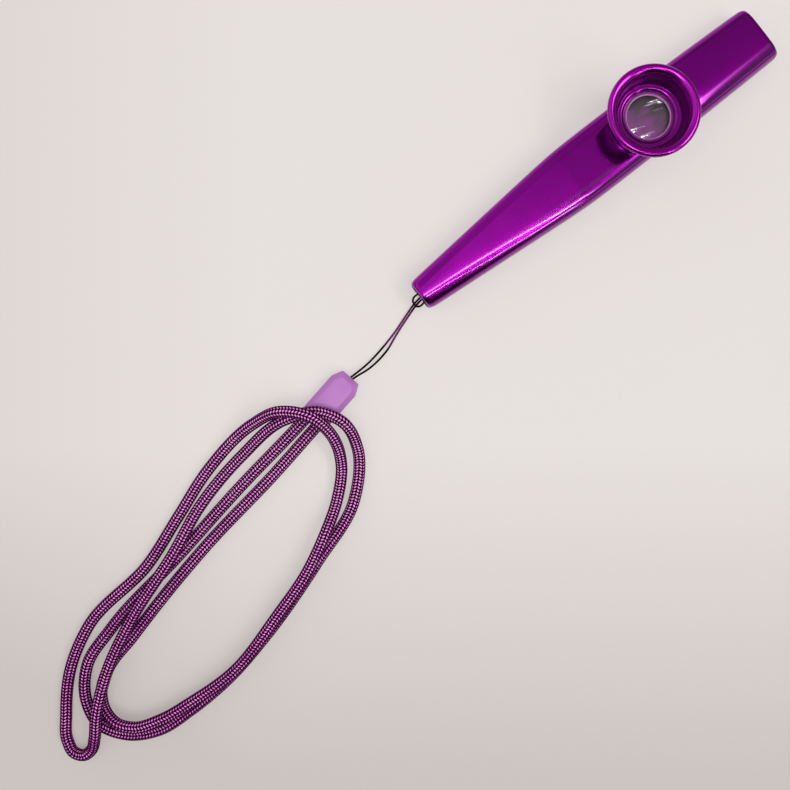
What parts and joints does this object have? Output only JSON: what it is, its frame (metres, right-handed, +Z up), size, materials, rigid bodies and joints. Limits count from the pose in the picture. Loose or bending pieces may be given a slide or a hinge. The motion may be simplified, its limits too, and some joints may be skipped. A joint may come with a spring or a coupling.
{
  "type": "kazoo",
  "caption": "Flattened metal kazoo with a screw-down resonator cup over a film membrane, and a braided neck lanyard laid out beside it.",
  "frame": {"origin": "middle of the instrument's underside, on the surface it lies on, with the lanyard left out", "axes": "+X from the open tail to the mouth end, +Z up through the cup, +Y to the side by the right-hand rule"},
  "size_m": [0.2776, 0.0666, 0.0244],
  "materials": {
    "body_metal": "purple anodised, glossy",
    "neck_metal": "purple anodised, glossy",
    "film": "thin wrinkled film",
    "frame_ring": "pale, glossy",
    "cup_metal": "purple anodised, glossy",
    "string": "black twisted string",
    "clamp_plastic": "satin moulded plastic",
    "band_metal": "thin crimped band",
    "cord_braid": "braided cord with pale flecks"
  },
  "bodies": {
    "kazoo": {"kazoo_body": "body_metal", "turret_neck": "neck_metal", "lanyard_string": "string", "cord_clamp": "clamp_plastic", "crimp_band": "band_metal", "lanyard_cord": "cord_braid"},
    "membrane_cartridge": {"membrane_film": "film", "membrane_frame": "frame_ring"},
    "resonator": {"resonator_cup": "cup_metal"}
  },
  "joints": [
    {"name": "cup_lift", "type": "slide", "parent": "kazoo", "child": "membrane_cartridge", "axis": [0, 0, 1], "range_m": [0, 0.0024]},
    {"name": "cup_turn", "type": "hinge", "parent": "membrane_cartridge", "child": "resonator", "pos_m": [0.0181, 0, 0.0154], "axis": [0, 0, 1], "range_deg": [0, 720]}
  ],
  "couplings": [
    {"joint": "cup_lift", "follows": "cup_turn", "m_per_rad": 0.00019098}
  ]
}
